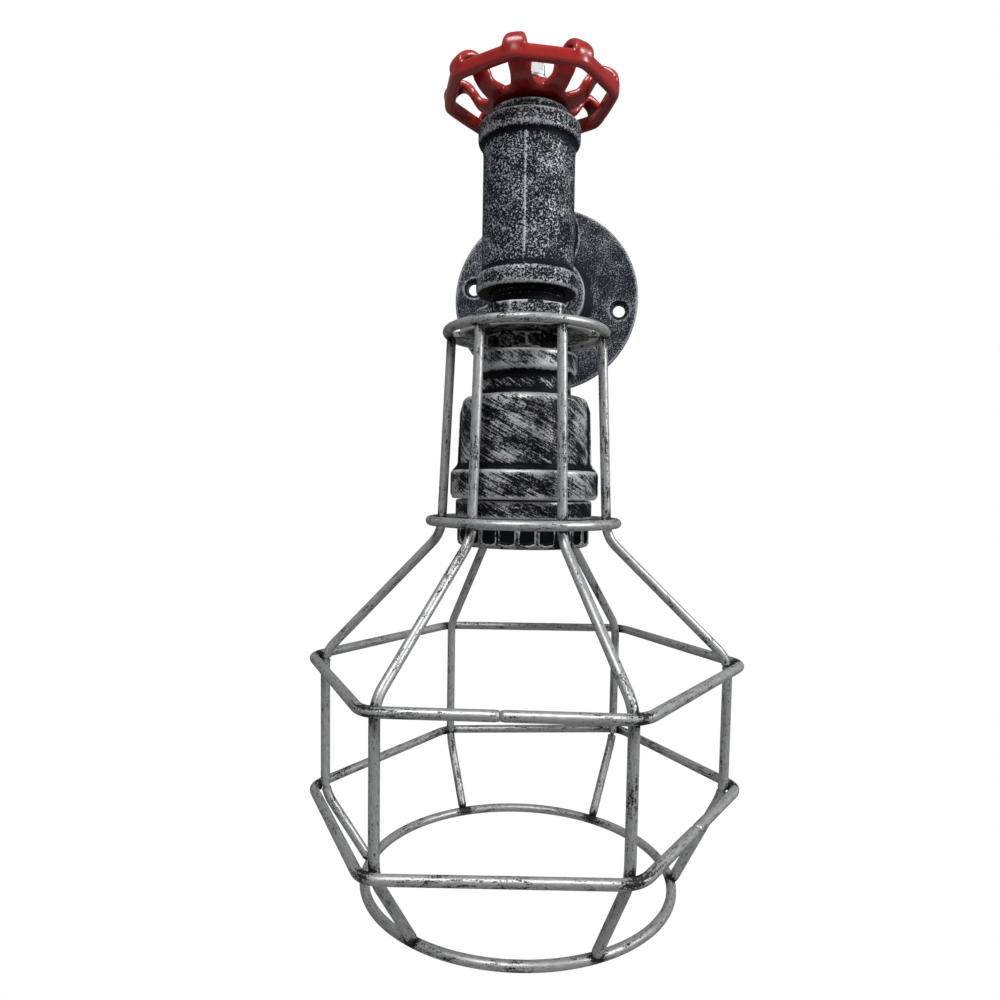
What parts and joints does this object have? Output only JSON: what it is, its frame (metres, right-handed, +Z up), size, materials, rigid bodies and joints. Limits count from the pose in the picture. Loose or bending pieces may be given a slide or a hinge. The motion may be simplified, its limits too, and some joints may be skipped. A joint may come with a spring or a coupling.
{
  "type": "pipe wall light",
  "caption": "Wall light built from cast pipe fittings: a round flange and tee hold a hanging lampholder in an open wire cage, with a red valve handwheel on top.",
  "frame": {"origin": "centre of the wall flange's back face, on the axis of the tee's branch", "axes": "+Y into the wall, +Z up, +X to the right seen from the room; the lamp hangs at -Y"},
  "size_m": [0.1568, 0.1996, 0.2928],
  "materials": {
    "hammered_iron": "black paint sponged with fine silver speckle, satin",
    "plate_iron": "dark blue-grey paint with a soft silver speckle, satin",
    "brushed_iron": "black paint dry-brushed with silver in slanting strokes, satin",
    "ring_plastic": "black plastic with silver rubbed on its ridges",
    "cage_wire": "silver paint over black, worn black at the welds, semi-gloss",
    "red_enamel": "deep red gloss enamel",
    "zinc_steel": "zinc plated",
    "nickel_brass": "nickel-washed brass",
    "bakelite": "black moulded bakelite",
    "brown_sleeve": "brown insulation",
    "blue_sleeve": "blue insulation"
  },
  "bodies": {
    "fixture": {"wall_flange": "plate_iron", "earth_screw": "nickel_brass", "wall_nipple": "hammered_iron", "tee": "hammered_iron", "top_bushing": "hammered_iron", "upper_hex_plug": "hammered_iron", "lower_hex_plug": "hammered_iron", "upper_tube_nut": "zinc_steel", "lower_tube_nut": "zinc_steel", "lamp_tube": "zinc_steel", "cage_disc": "cage_wire", "cage_top_ring": "cage_wire", "cage_neck_ring": "cage_wire", "cage_bottom_ring": "cage_wire", "cage_upper_hexagon": "cage_wire", "cage_lower_hexagon": "cage_wire", "cage_spoke_1": "cage_wire", "cage_spoke_2": "cage_wire", "cage_spoke_3": "cage_wire", "cage_spoke_4": "cage_wire", "cage_spoke_5": "cage_wire", "cage_spoke_6": "cage_wire", "reducing_coupling": "brushed_iron", "holder_collar": "brushed_iron", "shade_ring": "ring_plastic", "lampholder_body": "bakelite", "lampholder_cap": "bakelite", "threaded_shell": "nickel_brass", "centre_contact": "nickel_brass", "live_terminal": "nickel_brass", "neutral_terminal": "nickel_brass", "live_terminal_screw": "nickel_brass", "neutral_terminal_screw": "nickel_brass", "live_lead": "brown_sleeve", "neutral_lead": "blue_sleeve"},
    "valve": {"handwheel": "red_enamel", "valve_stem": "zinc_steel", "wheel_washer": "zinc_steel", "wheel_nut": "zinc_steel"}
  },
  "joints": [
    {"name": "valve_turn", "type": "hinge", "parent": "fixture", "child": "valve", "pos_m": [0, -0.13, 0.0407], "axis": [0, 0, 1], "continuous": true}
  ]
}
